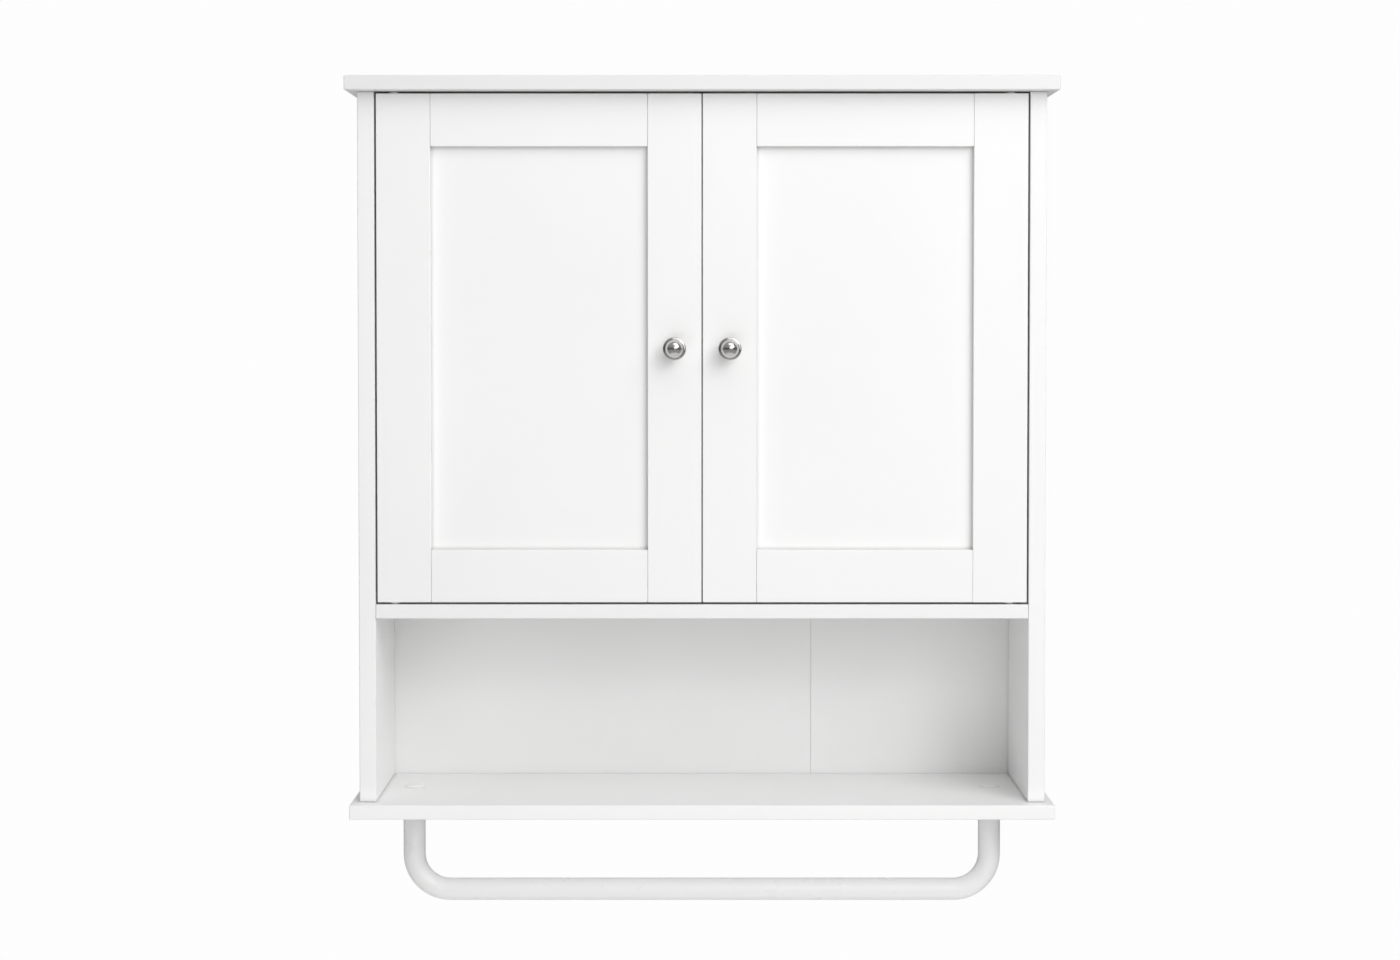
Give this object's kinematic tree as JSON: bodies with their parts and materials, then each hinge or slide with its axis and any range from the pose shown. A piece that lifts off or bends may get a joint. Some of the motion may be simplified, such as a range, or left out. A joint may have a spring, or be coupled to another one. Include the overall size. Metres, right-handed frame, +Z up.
{
  "type": "hanging wall cabinet",
  "caption": "White wall cabinet with framed doors on pivot pins, an open niche below them and a bent towel bar under its base.",
  "frame": {"origin": "midway between the two wall screw holes, on the wall plane that the cabinet's rear edges touch", "axes": "+X to the right seen from the front, the front faces -Y so +Y points into the wall, +Z up"},
  "size_m": [0.591, 0.1856, 0.7035],
  "materials": {
    "white_board": "satin white paint over fibreboard",
    "back_sheet": "thin fibreboard, white printed face",
    "paper_tape": "plain paper tape",
    "white_tube": "white powder coat on steel tube",
    "white_plastic": "moulded",
    "polished_nickel": "polished nickel",
    "zinc_plated_steel": "bright zinc plate",
    "beech": "bare beech",
    "ferrite": "sintered, matt"
  },
  "bodies": {
    "carcass": {"adjustable_shelf": "white_board", "back_fold_tape": "paper_tape", "back_panel_left": "back_sheet", "back_panel_right": "back_sheet", "bottom_board": "white_board", "bottom_screws": "zinc_plated_steel", "cam_bolts": "zinc_plated_steel", "cam_nuts": "zinc_plated_steel", "catch_housings": "white_plastic", "catch_magnets": "ferrite", "catch_pole_plates": "zinc_plated_steel", "catch_screws": "zinc_plated_steel", "fixed_shelf": "white_board", "hanging_rail": "white_board", "left_side_panel": "white_board", "pivot_pins": "zinc_plated_steel", "right_side_panel": "white_board", "screw_cover_caps": "white_plastic", "shelf_pins": "zinc_plated_steel", "top_board": "white_board", "towel_bar": "white_tube", "towel_bar_plugs": "zinc_plated_steel", "towel_bar_screws": "zinc_plated_steel", "wood_dowels": "beech"},
    "left_door": {"left_hinge_stile": "white_board", "left_meeting_stile": "white_board", "left_top_rail": "white_board", "left_bottom_rail": "white_board", "left_door_panel": "white_board", "left_pivot_bushes": "white_plastic", "left_knob": "polished_nickel", "left_knob_screw": "zinc_plated_steel", "left_strike_plate": "zinc_plated_steel", "left_strike_screw": "zinc_plated_steel"},
    "right_door": {"right_hinge_stile": "white_board", "right_meeting_stile": "white_board", "right_top_rail": "white_board", "right_bottom_rail": "white_board", "right_door_panel": "white_board", "right_pivot_bushes": "white_plastic", "right_knob": "polished_nickel", "right_knob_screw": "zinc_plated_steel", "right_strike_plate": "zinc_plated_steel", "right_strike_screw": "zinc_plated_steel"}
  },
  "joints": [
    {"name": "left_door_hinge", "type": "hinge", "parent": "carcass", "child": "left_door", "pos_m": [-0.2565, -0.157, -0.1835], "axis": [0, 0, -1], "range_deg": [0, 135]},
    {"name": "right_door_hinge", "type": "hinge", "parent": "carcass", "child": "right_door", "pos_m": [0.2565, -0.157, -0.1835], "axis": [0, 0, 1], "range_deg": [0, 135]}
  ]
}
